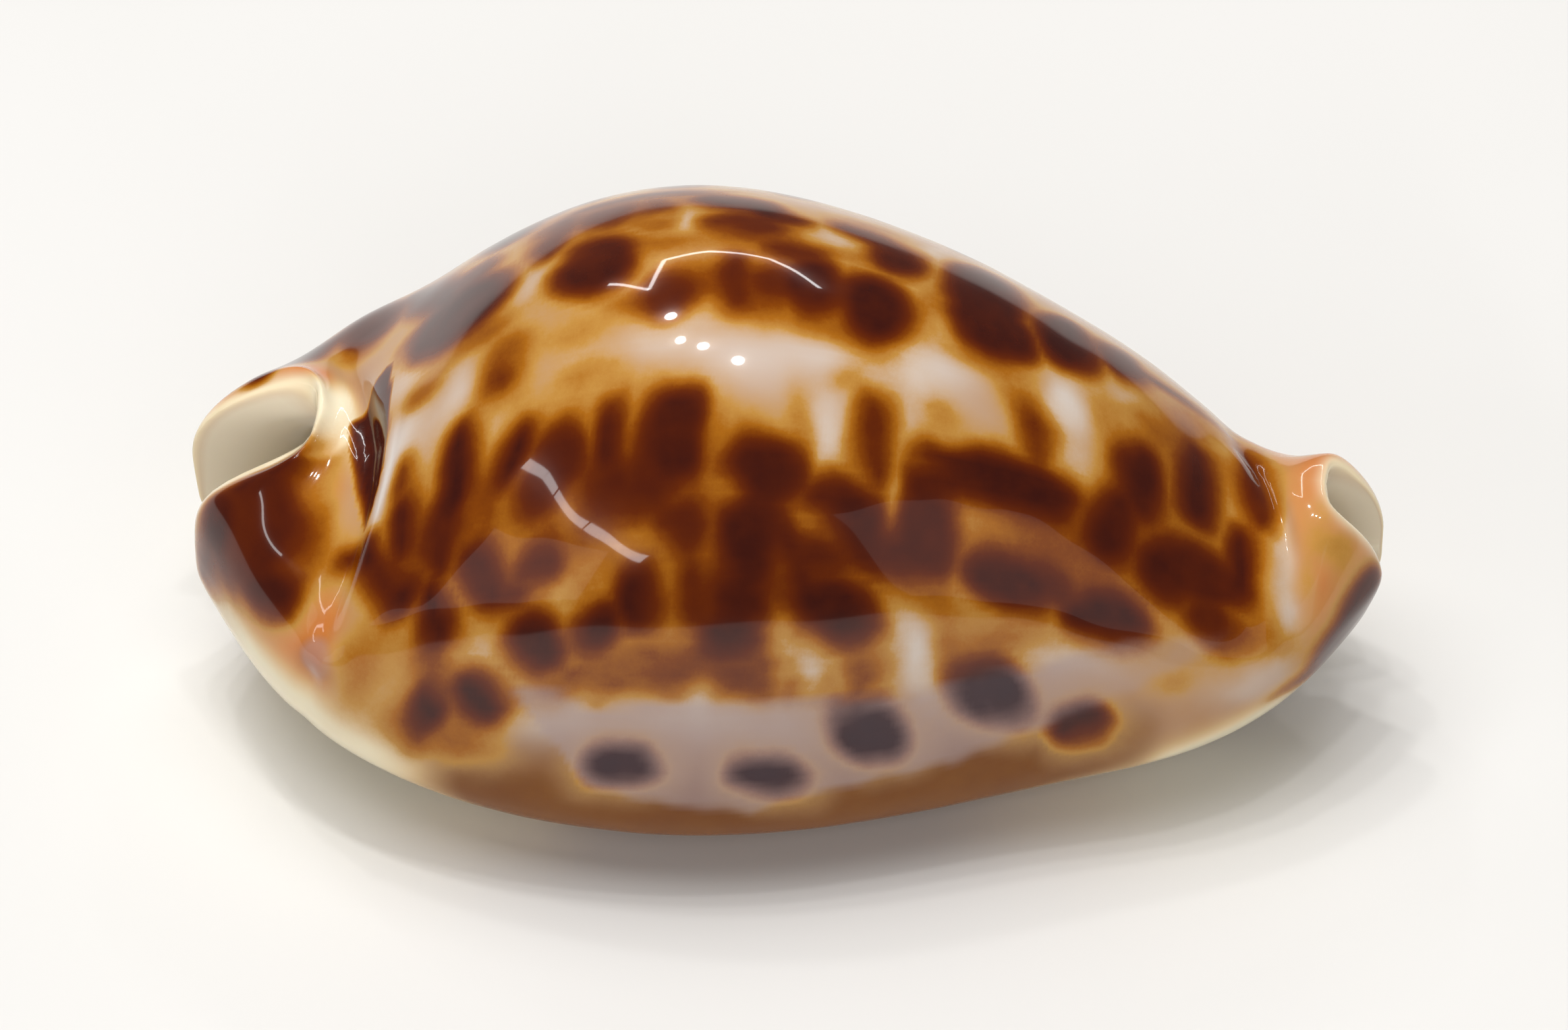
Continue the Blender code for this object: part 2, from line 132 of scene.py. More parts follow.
# Dark stains: x, girth, half length, half width, tilt in degrees from +X, depth of colour from 0 to 1
STAINS = [
    # rear flange, and the crease of its collar
    (-35.4, -10.8, 4.8, 2.7, 56, 0.78), (-37.6, -12.0, 2.4, 1.1, 80, 1.0),
    (-33.6, -13.8, 1.9, 1.4, 20, 0.94), (-34.6, -7.3, 3.6, 0.6, 43, 0.86),
    (-38.6, -15.6, 2.6, 0.7, 85, 0.8), (-33.6, 9.6, 4.4, 1.5, 32, 0.85),
    # rear end, far side of the back
    (-28.6, 11.0, 2.1, 3.3, 0, 0.92), (-24.4, 9.0, 4.2, 1.4, 112, 0.95), (-22.0, 3.0, 3.5, 3.1, 0, 1.0),
    (-21.5, 7.0, 1.8, 1.5, 0, 0.78), (-19.2, 11.8, 1.9, 2.0, 0, 1.0), (-16.2, 5.2, 1.2, 1.4, 0, 0.72),
    (-15.6, 8.0, 1.1, 2.0, 0, 0.55), (-12.4, 7.5, 1.5, 1.6, 0, 0.6), (-8.8, 6.6, 1.1, 2.3, 0, 0.6),
    (-10.0, 10.5, 4.8, 0.6, 0, 0.72), (-12.7, 1.3, 2.7, 2.8, 0, 1.0), (-7.7, -2.7, 2.0, 1.6, 20, 0.78),
    (-3.2, -1.3, 1.3, 2.4, 0, 0.74),
    # middle of the back
    (-3.6, 8.2, 3.3, 1.3, -18, 0.92), (-1.0, 6.8, 1.9, 0.8, -15, 0.95), (-2.8, 5.0, 2.8, 1.6, 0, 0.7),
    (0.5, 2.4, 2.0, 1.1, 0, 0.72), (-0.5, -0.9, 1.7, 1.7, 0, 0.75), (1.7, -0.5, 2.1, 2.4, 0, 0.97),
    (5.8, -1.1, 2.4, 2.7, 0, 1.0), (5.5, 6.4, 2.9, 0.9, -14, 0.85), (7.0, 4.3, 1.7, 1.7, 0, 0.95),
    (12.9, 4.2, 2.6, 4.2, 0, 0.97), (13.6, 0.6, 2.8, 2.3, 0, 1.0), (18.3, 3.3, 2.0, 3.1, 0, 1.0),
    (22.0, 4.3, 1.5, 1.8, 0, 0.92), (24.2, 5.0, 1.9, 0.4, 5, 0.75),
    # front part of the back
    (31.1, 0.0, 3.9, 1.1, 98, 0.8), (27.4, -2.9, 1.15, 2.9, 0, 0.95), (30.5, -6.4, 0.95, 2.2, 0, 0.95),
    (23.6, -5.4, 1.4, 2.8, 0, 0.96), (21.9, -9.6, 1.4, 2.6, -18, 0.93), (27.8, -9.2, 3.6, 1.8, 14, 0.88),
    (28.6, -11.9, 1.9, 1.5, 20, 0.8), (25.3, -10.8, 1.6, 1.6, 0, 0.85), (14.6, -10.3, 5.2, 1.75, 12, 1.0),
    (10.2, -11.9, 1.8, 2.2, 0, 0.97), (16.7, -6.5, 1.1, 1.9, 0, 0.62),
    # middle row on the outer lip's side
    (6.3, -10.8, 1.15, 3.0, 0, 0.72), (4.6, -15.8, 2.6, 1.9, 0, 0.92), (9.9, -15.6, 2.0, 2.8, 0, 0.86),
    (7.0, -17.8, 2.7, 1.5, 0, 0.8), (-0.6, -14.2, 2.6, 2.2, 0, 0.95), (-6.4, -12.3, 2.3, 3.0, 0, 0.96),
    (-11.0, -12.2, 0.9, 2.0, 0, 0.85), (-14.0, -12.8, 1.7, 2.0, 0, 0.74), (-15.0, -14.6, 1.6, 1.6, 0, 0.66),
    (-8.8, -15.8, 2.4, 1.6, -30, 0.66), (-11.6, -15.8, 1.5, 1.2, 0, 0.62),
    (-17.1, -11.5, 1.8, 0.95, 68, 1.0), (-20.9, -10.6, 1.1, 2.9, 0, 1.0), (-21.7, -14.6, 1.3, 3.0, 0, 0.86),
    (-24.5, -12.2, 0.65, 1.9, 0, 1.0), (-24.7, -8.6, 0.5, 1.1, 0, 0.5), (-25.6, -15.0, 3.0, 1.1, -58, 0.82),
    (-27.0, -12.7, 0.7, 1.1, 0, 1.0), (-28.3, -12.2, 0.5, 0.6, 0, 0.9), (-24.2, -17.2, 0.8, 1.1, 0, 1.0),
    (-22.0, -19.8, 2.4, 0.85, -72, 1.0), (-18.9, -18.6, 2.6, 1.2, -60, 0.9),
    (-15.1, -19.6, 1.4, 1.2, 0, 0.82), (-17.4, -20.8, 1.5, 0.9, -40, 0.7),
    # lower rows
    (-1.0, -19.0, 2.5, 3.0, 0, 0.94), (-5.9, -18.6, 1.6, 1.5, 0, 0.82), (-4.8, -22.8, 1.9, 2.2, 0, 0.76),
    (-1.9, -23.2, 1.9, 1.6, 0, 0.86), (-2.6, -25.6, 1.8, 1.5, 0, 1.0), (4.3, -22.6, 2.6, 2.1, 0, 1.0),
    (1.5, -21.6, 1.6, 1.6, 0, 0.86), (2.5, -19.2, 2.0, 1.2, 0, 0.72), (-8.4, -23.3, 1.6, 2.2, 0, 1.0),
    (-11.2, -24.9, 1.5, 1.7, 0, 1.0), (-15.2, -24.8, 2.4, 1.55, -50, 1.0),
    (-22.5, -26.0, 1.6, 0.9, -70, 1.0), (-19.0, -27.3, 2.6, 1.1, -56, 1.0),
    (15.2, -16.6, 2.7, 1.8, 10, 0.95), (21.6, -15.7, 3.1, 1.5, 28, 1.0), (18.0, -15.6, 1.6, 1.2, 0, 0.8),
    # spots along the margin
    (-9.5, -35.7, 2.4, 1.5, -18, 1.0), (0.1, -36.2, 2.4, 1.6, 8, 1.0), (6.6, -31.1, 2.7, 2.1, 42, 1.0),
    (14.4, -25.0, 2.8, 2.2, 40, 1.0), (20.2, -24.5, 2.4, 1.0, 50, 1.0),
    # front flange
    (37.9, -12.4, 4.4, 1.5, 66, 0.98),
]

# Depths inside a stain's edge, in mm, between which its brown grows, and those for the faint halo round it
STAIN_EDGE = -1.3, 1.1
STAIN_HALO = -3.2, 0.4

# Soft clouds of amber: x, girth, half length, half width, tilt in degrees, depth of colour from 0 to 1
CLOUDS = [
    (-33.0, -11.0, 3.5, 3.4, 0, 0.5), (-29.0, 7.0, 1.9, 1.8, 0, 0.5), (-23.4, 8.4, 1.6, 2.0, 0, 0.5),
    (-20.0, -1.2, 3.2, 1.3, 10, 0.5), (-24.0, -2.9, 1.9, 1.7, 0, 0.8), (-18.0, -3.4, 2.1, 1.6, 0, 0.48),
    (-18.4, -5.6, 1.7, 2.2, 24, 0.85), (-15.5, 8.5, 2.6, 2.6, 0, 0.45), (-11.5, 7.6, 4.6, 3.4, 0, 0.6),
    (-8.0, 2.4, 2.6, 1.2, 0, 0.45), (-5.4, -1.2, 3.6, 2.4, 0, 0.55), (-13.5, -4.6, 3.0, 1.7, 0, 0.3),
    (-10.5, -2.8, 1.6, 1.2, 0, 0.3), (-12.6, -7.4, 2.6, 1.3, 0, 0.35), (-1.5, -3.4, 1.8, 1.5, 0, 0.5),
    (2.5, -3.8, 3.0, 1.2, 0, 0.4), (5.4, -4.4, 3.0, 1.2, 0, 0.35), (-2.6, 3.2, 3.6, 1.8, 0, 0.4),
    (3.8, 3.2, 1.6, 1.2, 0, 0.35), (5.0, 9.0, 3.4, 1.6, 0, 0.35), (9.4, 0.5, 1.1, 3.0, 0, 0.3),
    (13.0, -2.6, 3.4, 1.1, 0, 0.4), (27.3, 2.0, 2.6, 2.2, 0, 0.48), (21.4, -2.0, 1.9, 1.7, 0, 0.38),
    (24.6, -0.8, 1.6, 1.8, 0, 0.35), (26.0, 0.4, 4.4, 3.0, 0, 0.25), (16.0, -4.6, 2.4, 1.4, -20, 0.45),
    (10.2, -7.2, 1.8, 1.3, 0, 0.38), (25.4, -6.8, 5.0, 5.4, 0, 0.38), (4.0, -7.2, 2.0, 1.0, 30, 0.3),
    (7.5, -5.5, 3.4, 1.0, 0, 0.2), (28.0, 4.9, 3.6, 0.9, 0, 0.4), (-19.0, -14.0, 1.3, 2.8, 0, 0.6),
    (-23.4, -14.0, 1.5, 3.6, 0, 0.55), (-24.7, -9.0, 0.9, 2.2, 0, 0.45), (1.6, -10.4, 1.1, 2.6, 10, 0.35),
    (-10.5, -14.2, 7.6, 4.6, -4, 0.85), (-12.5, -17.5, 5.0, 2.8, -20, 0.55),
    (-16.8, -21.0, 3.2, 2.0, 0, 0.4), (18.0, -12.9, 6.0, 2.2, 14, 0.5), (20.5, -13.0, 6.0, 4.4, 0, 0.35),
    (-12.6, -21.6, 2.2, 1.4, 0, 0.25), (-2.2, -20.6, 6.8, 6.0, 0, 0.82), (7.0, -17.6, 5.2, 3.2, 0, 0.66),
    (-12.4, -28.8, 4.2, 2.0, 0, 0.6), (-5.0, -28.4, 5.0, 1.9, 0, 0.85), (0.4, -29.0, 3.8, 1.5, 4, 0.85),
    (6.2, -26.4, 3.0, 1.5, 34, 0.75), (11.6, -22.8, 1.2, 2.0, 0, 0.35), (15.2, -20.8, 3.6, 1.4, 26, 0.45),
    (10.4, -20.2, 2.8, 1.3, 0, 0.35), (26.5, -17.5, 2.8, 0.9, 45, 0.25), (36.2, -5.2, 2.6, 1.2, -60, 0.2),
    (33.4, -8.6, 2.6, 1.1, 70, 0.15), (-22.0, -23.0, 3.6, 2.0, -62, 0.6),
    (-20.6, -30.0, 4.2, 1.5, -40, 0.5), (-33.0, -6.0, 3.0, 1.4, 40, 0.45), (-32.6, -10.5, 1.6, 4.0, 0, 0.5),
    (-37.0, -15.2, 1.6, 1.2, 0, 0.4), (-27.0, -20.5, 2.2, 3.2, 0, 0.4), (-23.4, -26.2, 3.4, 1.7, -34, 0.4),
    (-30.8, -8.6, 1.8, 3.6, 0, 0.4), (-28.6, -18.8, 1.7, 1.3, 0, 0.22), (33.0, -11.5, 1.6, 1.5, 0, 0.55),
    (34.9, -7.6, 0.6, 2.6, 0, 0.15), (36.0, -2.4, 0.9, 1.0, 0, 0.2), (37.4, -5.2, 1.5, 1.9, 0, 0.12),
    (34.7, -15.4, 2.2, 0.9, 30, 0.55), (31.2, -11.4, 0.8, 2.2, -20, 0.3), (34.7, 4.0, 1.2, 1.2, 0, 0.35),
    (-3.0, -27.2, 7.0, 0.3, 2, 0.5), (0.5, -28.3, 7.5, 0.26, 3, 0.5), (-6.0, -29.3, 7.0, 0.26, -2, 0.5),
    (3.5, -29.6, 5.5, 0.24, 6, 0.4), (-10.0, -28.2, 4.6, 0.24, -4, 0.45), (-7.0, -30.6, 5.0, 0.2, 0, 0.35),
]

# Places where the brown is thinner: x, girth, half length, half width, tilt in degrees, share taken away
THIN = [
    (-6.7, -22.2, 1.2, 2.4, 0, 0.42), (-4.1, -20.6, 0.7, 3.0, 0, 0.3), (9.4, -11.1, 1.6, 0.9, 0, 0.4),
    (-4.1, -11.4, 0.7, 2.4, 0, 0.5), (-12.1, -11.2, 0.6, 2.4, 0, 0.4), (-9.4, -12.0, 0.5, 2.2, 0, 0.3),
    (22.2, -1.8, 1.3, 1.2, 0, 0.45), (2.8, -12.9, 0.9, 0.9, 0, 0.3), (2.6, -17.0, 1.3, 1.0, 0, 0.4),
    (-15.1, 2.6, 1.6, 1.0, 0, 0.5), (-8.7, 5.8, 1.5, 1.1, 0, 0.6), (28.8, 1.9, 1.3, 1.1, 0, 0.6),
    (0.6, -20.8, 0.7, 2.4, 10, 0.3), (-8.6, -19.4, 2.2, 0.8, 0, 0.35), (7.6, -14.6, 0.6, 1.6, 0, 0.35),
    (12.6, -12.8, 2.6, 0.6, 10, 0.25), (-13.2, -16.6, 1.2, 1.4, 0, 0.45), (-3.0, -16.0, 0.9, 0.9, 0, 0.35),
]

# Pale patches in the ground: x, girth, half length, half width, tilt in degrees, strength from 0 to 1
PALE = [
    (-26.2, -9.6, 2.3, 0.6, 78, 1.0), (-24.6, -5.6, 1.2, 2.2, 0, 0.9), (-24.2, -1.0, 2.6, 1.4, -40, 0.7),
    (-21.5, -5.2, 1.5, 2.6, 0, 0.7), (-17.2, 1.6, 1.2, 2.4, 0, 0.6), (-7.4, 5.6, 1.1, 1.8, 0, 0.9),
    (3.0, 5.2, 1.4, 1.6, 0, 0.9), (9.4, 6.5, 0.8, 3.0, 0, 0.7), (10.4, -4.4, 2.6, 2.2, 0, 0.7),
    (3.6, -5.8, 3.4, 1.2, 0, 0.6), (-2.0, -7.0, 5.0, 2.4, 0, 0.6), (18.2, -3.4, 1.3, 3.6, -14, 1.0),
    (22.8, 0.8, 1.6, 0.8, 0, 0.6), (3.2, -11.2, 1.3, 2.4, 0, 0.9), (8.3, -12.2, 0.5, 3.0, 0, 0.9),
    (19.6, -7.6, 0.7, 1.8, 0, 0.6), (-18.6, -9.6, 1.0, 1.6, 0, 0.5), (-22.6, -10.0, 0.7, 2.4, 0, 0.7),
    (-14.0, -22.0, 1.5, 1.0, 30, 0.8), (0.4, -24.6, 0.8, 1.2, 0, 0.6), (0.9, -28.0, 0.9, 3.4, 0, 0.7),
    (4.2, -27.6, 0.8, 3.2, 0, 0.7), (9.0, -24.0, 2.4, 3.0, 40, 0.8), (-19.6, -23.6, 3.8, 1.0, -52, 0.8),
    (-4.0, -32.5, 9.0, 1.8, -3, 0.6), (-16.0, -30.5, 4.0, 1.4, -25, 0.7), (19.0, -20.0, 4.0, 1.2, 28, 0.7),
    (8.3, -5.4, 1.6, 2.4, 0, 0.9), (-8.4, -6.0, 2.2, 1.4, 0, 0.5), (18.4, -4.2, 1.2, 2.2, 0, 0.9),
    (33.0, -4.6, 0.7, 2.0, 0, 0.8), (33.4, -9.0, 0.8, 3.4, 0, 0.8), (31.5, -15.0, 3.0, 1.2, 40, 0.5),
    (-4.4, -30.2, 0.8, 1.8, 0, 0.8), (2.8, -27.8, 1.0, 2.8, 0, 0.95), (9.2, -24.2, 1.3, 2.6, 20, 0.9),
    (-12.2, -30.4, 0.9, 1.4, 0, 0.6), (-13.0, -6.6, 2.2, 0.9, 0, 0.3), (-6.2, -4.6, 1.6, 0.8, 0, 0.4),
]

# Rows of stains on the far side: girth, first and last x, pitch, size. Then the girths of its soft patches.
FAR_ROWS = [(14.6, -20, 26, 6.4, 0.9), (19.6, -24, 25, 5.4, 1.1),
            (25.2, -23, 24, 5.8, 1.0), (30.4, -21, 25, 6.8, 0.75)]
FAR_PATCH_ROWS = (16.0, 23.0, 30.0)
FAR_STAIN_SEED, FAR_CLOUD_SEED, FAR_PALE_SEED = 23, 31, 47

# The dark crescent on the collar's crease, by the angle a: its sharp front edge (psi) and its width in mm.
# Then the bands of a for the pale streak beside it.
CRESCENT_A = [-36, -28, -20, -12, -4, 3, 9]
CRESCENT_PSI = [45.4, 46.5, 47.9, 48.2, 48.0, 47.4, 46.8]
CRESCENT_WIDTH = [0.0, 1.6, 3.4, 4.8, 5.6, 3.6, 0.0]
CRESCENT_SPAN = 32
STREAK_BEGINS = -38, -30
STREAK_WEAKENS = -20, -8
STREAK_ENDS = 6, 16

# The milky outer layer low on the outer lip's side, which also stands for a painted reflection of a pale
# panel: girth of its upper and lower edges along x
MILK_AND_REFLECTION_X = [-17.5, -12, -8, -1, 5, 12, 18, 24, 30.5]
MILK_AND_REFLECTION_TOP = [-27.0, -30.4, -31.2, -30.7, -29.4, -25.1, -20.7, -16.0, -11.2]
MILK_AND_REFLECTION_BOTTOM = [-27.0, -36.6, -39.4, -39.8, -36.5, -31.8, -26.2, -19.8, -11.2]

# Where the colours begin, weaken and end around the section, as bands of the angle a in degrees
TAN_BEGINS = 70, 88
TAN_WEAKENS = 118, 143
BROWN_ENDS = 112, 137
ORANGE_SHIFTS = 40, 58
ORANGE_ENDS = 80, 102
SADDLE_ENDS = 6, 24
BUFF_ENDS = 10, 30
BASE_BEGINS = 95, 135
SLIT_BEGINS = 150, 164
REAR_CREAM, FRONT_CREAM, CREAM_EASE = 68, 86, 26
GLOSS_WEAKENS = 58, 98
FAR_GLOSS_WEAKENS = 6, 20

# Colours, as red, green and blue from 0 to 255. Two together are blended.
GROUND = (186, 150, 122), (178, 128, 78)
PALE_TONE = (216, 206, 198)
ORANGE = (198, 102, 28), (214, 136, 66)
TAN = (112, 58, 2), (134, 80, 14)
ENDS = (228, 190, 126), (244, 232, 200)
RIM_TONE = (240, 222, 186)
LINING = (226, 212, 186)
NODULE_TONES = (176, 104, 46), (176, 122, 98)
# the next two tones are the milky glaze over the ground and over the spots, partly real and partly a painted
# reflection of a pale panel
MILK_AND_REFLECTION_TONES = (172, 150, 146), (62, 50, 58)
STUDIO_FLOOR = (226, 224, 220), (232, 230, 227)

# The browns of a stain, from its edge (0) to its middle (1)
BROWNS = [(0.0, (200, 160, 112)), (0.14, (192, 142, 68)), (0.3, (166, 100, 18)), (0.48, (128, 62, 0)),
          (0.66, (98, 36, 0)), (0.82, (82, 26, 4)), (1.0, (58, 16, 8))]


def curve(at, values, t):
    """Smooth curve through the points (at, values), read at t (natural cubic spline)."""
    at = np.asarray(at, float)
    values = np.asarray(values, float)
    count = len(at)
    gap = np.diff(at)
    matrix = np.eye(count)
    right = np.zeros(count)
    for i in range(1, count - 1):
        matrix[i, i - 1:i + 2] = gap[i - 1], 2 * (gap[i - 1] + gap[i]), gap[i]
        right[i] = 6 * ((values[i + 1] - values[i]) / gap[i] - (values[i] - values[i - 1]) / gap[i - 1])
    bend = np.linalg.solve(matrix, right)
    t = np.clip(t, at[0], at[-1])
    k = np.clip(np.searchsorted(at, t) - 1, 0, count - 2)
    past, left, width = t - at[k], at[k + 1] - t, gap[k]
    return ((bend[k] * left ** 3 + bend[k + 1] * past ** 3) / (6 * width)
            + (values[k] / width - bend[k] * width / 6) * left
            + (values[k + 1] / width - bend[k + 1] * width / 6) * past)


def smooth(t):
    """0 below 0, 1 above 1, an S between."""
    t = np.clip(t, 0, 1)
    return t * t * (3 - 2 * t)


def bell(t):
    """1 at 0, falling off on both sides as exp(-t squared)."""
    return np.exp(-t * t)


def between(value, band):
    """0 up to the band's start, 1 from its end on, an S between."""
    start, end = band
    return smooth((value - start) / (end - start))


def rad(angle):
    """Radians from degrees."""
    return np.radians(angle)


def row_angle(u):
    """Angle psi of the row at the share u of the way along, rows evenly spaced in the middle."""
    return PI * (u + 0.06 * np.sin(2 * PI * u))


def rise(psi):
    """0 on the two rims, 1 beyond the blend inwards."""
    return smooth(psi / rad(BLEND_DEG)) * smooth((PI - psi) / rad(BLEND_DEG))


def greatest_angle(psi, side, wall):
    """Half width of the section, and the angle a at which the sheet meets its lip."""
    x = -HALF_LENGTH * np.cos(psi)
    full = np.where(side < 0, curve(STATIONS, OUTER_SIDE, x), curve(STATIONS, INNER_SIDE, x))
    full = full * np.where(wall > 0, curve(STATIONS, HOLLOW, x), 1)
    t = (1 - np.cos(psi)) / 2
    width = REAR["half"] * (1 - t) + FRONT["half"] * t - WALL_AT_RIM * rise(psi) * wall + full * np.sin(psi)
    edge = curve(SLIT_AT, SLIT_HALF, x) + LIP_ROUND * rise(psi)
    return width, PI - np.arcsin(np.clip(edge / width, 0, 0.98))


def sheet(psi, share, side, wall):
    """Points of the outer sheet (wall 0) or of the hollow's wall (wall 1), and their angles a.

    Across, y is the half width times the sine of a. Upwards, z is the margin's height plus the cosine of a
    times the rise to the back or the drop to the base. share runs from 0 on the line along the back to 1 at
    the lip.
    """
    x = -HALF_LENGTH * np.cos(psi)
    width, last = greatest_angle(psi, side, wall)
    a = share * last
    inside = rise(psi) * wall
    margin = curve(STATIONS, MARGIN_Z, x)
    base = curve(STATIONS, BASE_Z, x) + FLOOR * inside
    back = curve(rad(np.array(BACK_DEG)), BACK_Z, psi) - ROOF * inside
    under = between(a, rad(UNDERSIDE))
    z = margin + ((back - margin) * (1 - under) + (margin - base) * under) * np.cos(a)

    # near the rims the section has a broad round top
    near_rim = 2 - smooth(psi / rad(NEAR_RIM_DEG)) - smooth((PI - psi) / rad(NEAR_RIM_DEG))
    turn = 1 - np.clip(a / rad(ROUND_TOP_DEG), 0, 1)
    broad = np.where(a < PI / 2, np.sqrt(1 - turn * turn), np.sin(a))
    y = side * width * (np.sin(a) * (1 - near_rim) + broad * near_rim)
    y = y + curve(SLIT_AT, SLIT_Y, x) * between(a, rad(SLIT_SHIFT))

    # the rims are notched at the top and cut back at the foot
    rear = (1 + np.cos(np.clip(psi * 3, 0, PI))) / 2
    front = (1 + np.cos(np.clip((PI - psi) * 3, 0, PI))) / 2
    top = np.cos(np.clip(a, 0, PI / 2))
    foot = between(a, rad(FOOT_CUT))
    x = x + rear * (REAR["recess"] * top ** REAR["power"] + REAR["foot"] * foot)
    x = x - front * (FRONT["recess"] * top ** FRONT["power"] + FRONT["foot"] * foot)

    # the outer lip's tips are drawn in, the inner lip's rear tip stands out
    drawn_in = REAR_TIP_IN * between(a, rad(REAR_TIP)) + REAR_FOOT_IN * between(a, rad(REAR_FOOT))
    x = x + rear * np.where(side < 0, drawn_in, -INNER_TIP_OUT * bell((a - rad(75)) / rad(40)))
    x = x - front * np.where(side < 0, FRONT_TIP_IN * between(a, rad(FRONT_TIP)), 0)
    return np.stack(np.broadcast_arrays(x, y, z), -1), a


def sections(psi):
    """The closed loop of each section: outer sheet, inner lip, hollow, outer lip.

    A lip is a cubic curve from the sheet's edge to the hollow's edge, bulging over the slit.
    """
    v = np.linspace(-1, 1, BACK + 1)[None, :]
    q = np.linspace(1, -1, INSIDE + 1)[None, :]
    v_side = np.where(v < 0, -1.0, 1.0)
    q_side = np.where(q < 0, -1.0, 1.0)
    skin, a_skin = sheet(psi, np.abs(v), v_side, 0.0)
    wall, a_wall = sheet(psi, np.abs(q), q_side, 1.0)
    t = np.linspace(0, 1, LIP + 1)[None, 1:-1, None]

    def nose(start, end, side):
        bulge = (LIP_ROUND + LIP_EXTRA) * rise(psi)[..., None] * np.array([0, -side, 0])
        start, end = start[:, None], end[:, None]
        return ((1 - t) ** 3 * start + 3 * (1 - t) ** 2 * t * (start + bulge)
                + 3 * (1 - t) * t * t * (end + bulge) + t ** 3 * end)

    inner_lip = nose(skin[:, -1], wall[:, 0], 1.0)
    outer_lip = nose(skin[:, 0], wall[:, -1], -1.0)[:, ::-1]
    across = np.broadcast_to(t[0, :, 0], inner_lip.shape[:2])
    flat = np.zeros(across.shape)
    info = {
        "a": np.concatenate([a_skin, flat + PI, a_wall, flat + PI], 1),
        "side": np.concatenate([a_skin * 0 + v_side, flat + 1, a_wall * 0 + q_side, flat - 1], 1),
        "lip": np.concatenate([a_skin * 0, across, a_wall * 0 + 1, across[:, ::-1]], 1),
    }
    return np.concatenate([skin, inner_lip, wall, outer_lip], 1), info


def outward(points):
    """Unit normals of the grid of loops, from the differences along and around."""
    along = np.gradient(points, axis=0)
    around = np.roll(points, -1, 1) - np.roll(points, 1, 1)
    normal = np.cross(along, around)
    return normal / np.maximum(np.linalg.norm(normal, axis=-1, keepdims=True), 1e-9)


def worn_rims(psi, points, info):
    """Rounds the rims of the two canals.

    Each point near a rim is averaged with those beside it on the path that runs up the skin, over the rim and
    into the hollow. The weights are a bell that narrows to nothing three widths away from the rim.
    """
    count = int((psi < rad(WORN_DEG)).sum())
    v = np.linspace(-1, 1, BACK + 1)[None, :]
    opposite = sheet(psi, np.abs(v), np.where(v < 0, -1.0, 1.0), 1.0)[0]
    top = 1 - between(np.degrees(info["a"][0, :BACK + 1]), TOP_WEAR_ENDS)
    move = np.zeros(points.shape)
    for rows, top_wear in ((slice(0, count), REAR_TOP_WEAR), (slice(-1, -count - 1, -1), FRONT_TOP_WEAR)):
        skin, wall = points[rows, :BACK + 1], opposite[rows]
        path = np.concatenate([skin[:0:-1], wall])
        steps = np.linalg.norm(np.diff(path, axis=0), axis=-1)
        along = np.concatenate([np.zeros((1, BACK + 1)), np.cumsum(steps, 0)])
        along = along - along[count - 1]
        wear = RIM_WEAR + (top_wear - RIM_WEAR) * top
        width = wear * np.maximum(1 - np.abs(along) / (3 * wear), 0.001)
        weight = bell((along[None] - along[:, None]) / width[:, None]) * np.gradient(along, axis=0)[None]
        eased = np.einsum("ijc,jck->ick", weight, path) / weight.sum(1)[..., None]
        move[rows, :BACK + 1] = eased[count - 1::-1] - skin
        move[rows, BACK + LIP:BACK + LIP + INSIDE + 1] = (eased[count - 1:] - wall)[:, ::-(BACK // INSIDE)]
    share = np.linspace(0, 1, LIP + 1)[None, 1:-1, None]
    last = BACK + LIP + INSIDE
    inner_end = move[:, BACK + LIP:BACK + LIP + 1]
    move[:, BACK + 1:BACK + LIP] = move[:, BACK:BACK + 1] * (1 - share) + inner_end * share
    move[:, last + 1:] = move[:, last:last + 1] * (1 - share) + move[:, :1] * share
    return points + move


def skin_point(psi_deg, a_deg, side):
    """The point of the plain outer sheet at psi and a, in degrees."""
    psi = np.array([[rad(psi_deg)]])
    last = greatest_angle(psi, side, 0.0)[1]
    return sheet(psi, rad(a_deg) / last, side, 0.0)[0][0, 0]


def tooth_zone(u):
    """1 where the lips are toothed, 0 near the two canals."""
    return smooth((u - TEETH_START) / TEETH_EASE) * smooth((1 - TEETH_START - u) / TEETH_EASE)


def past_line(psi, signed, line_a, line_psi, span):
    """How far the points lie past a line across the back, in mm along the surface."""
    return (psi - rad(np.interp(signed, line_a, line_psi))) * span


def crease(past, depth, width, share, place, half):
    """A bell-shaped trough, and a low swelling beside it."""
    return depth * (share * bell((past - place) / half) - bell(past / width))


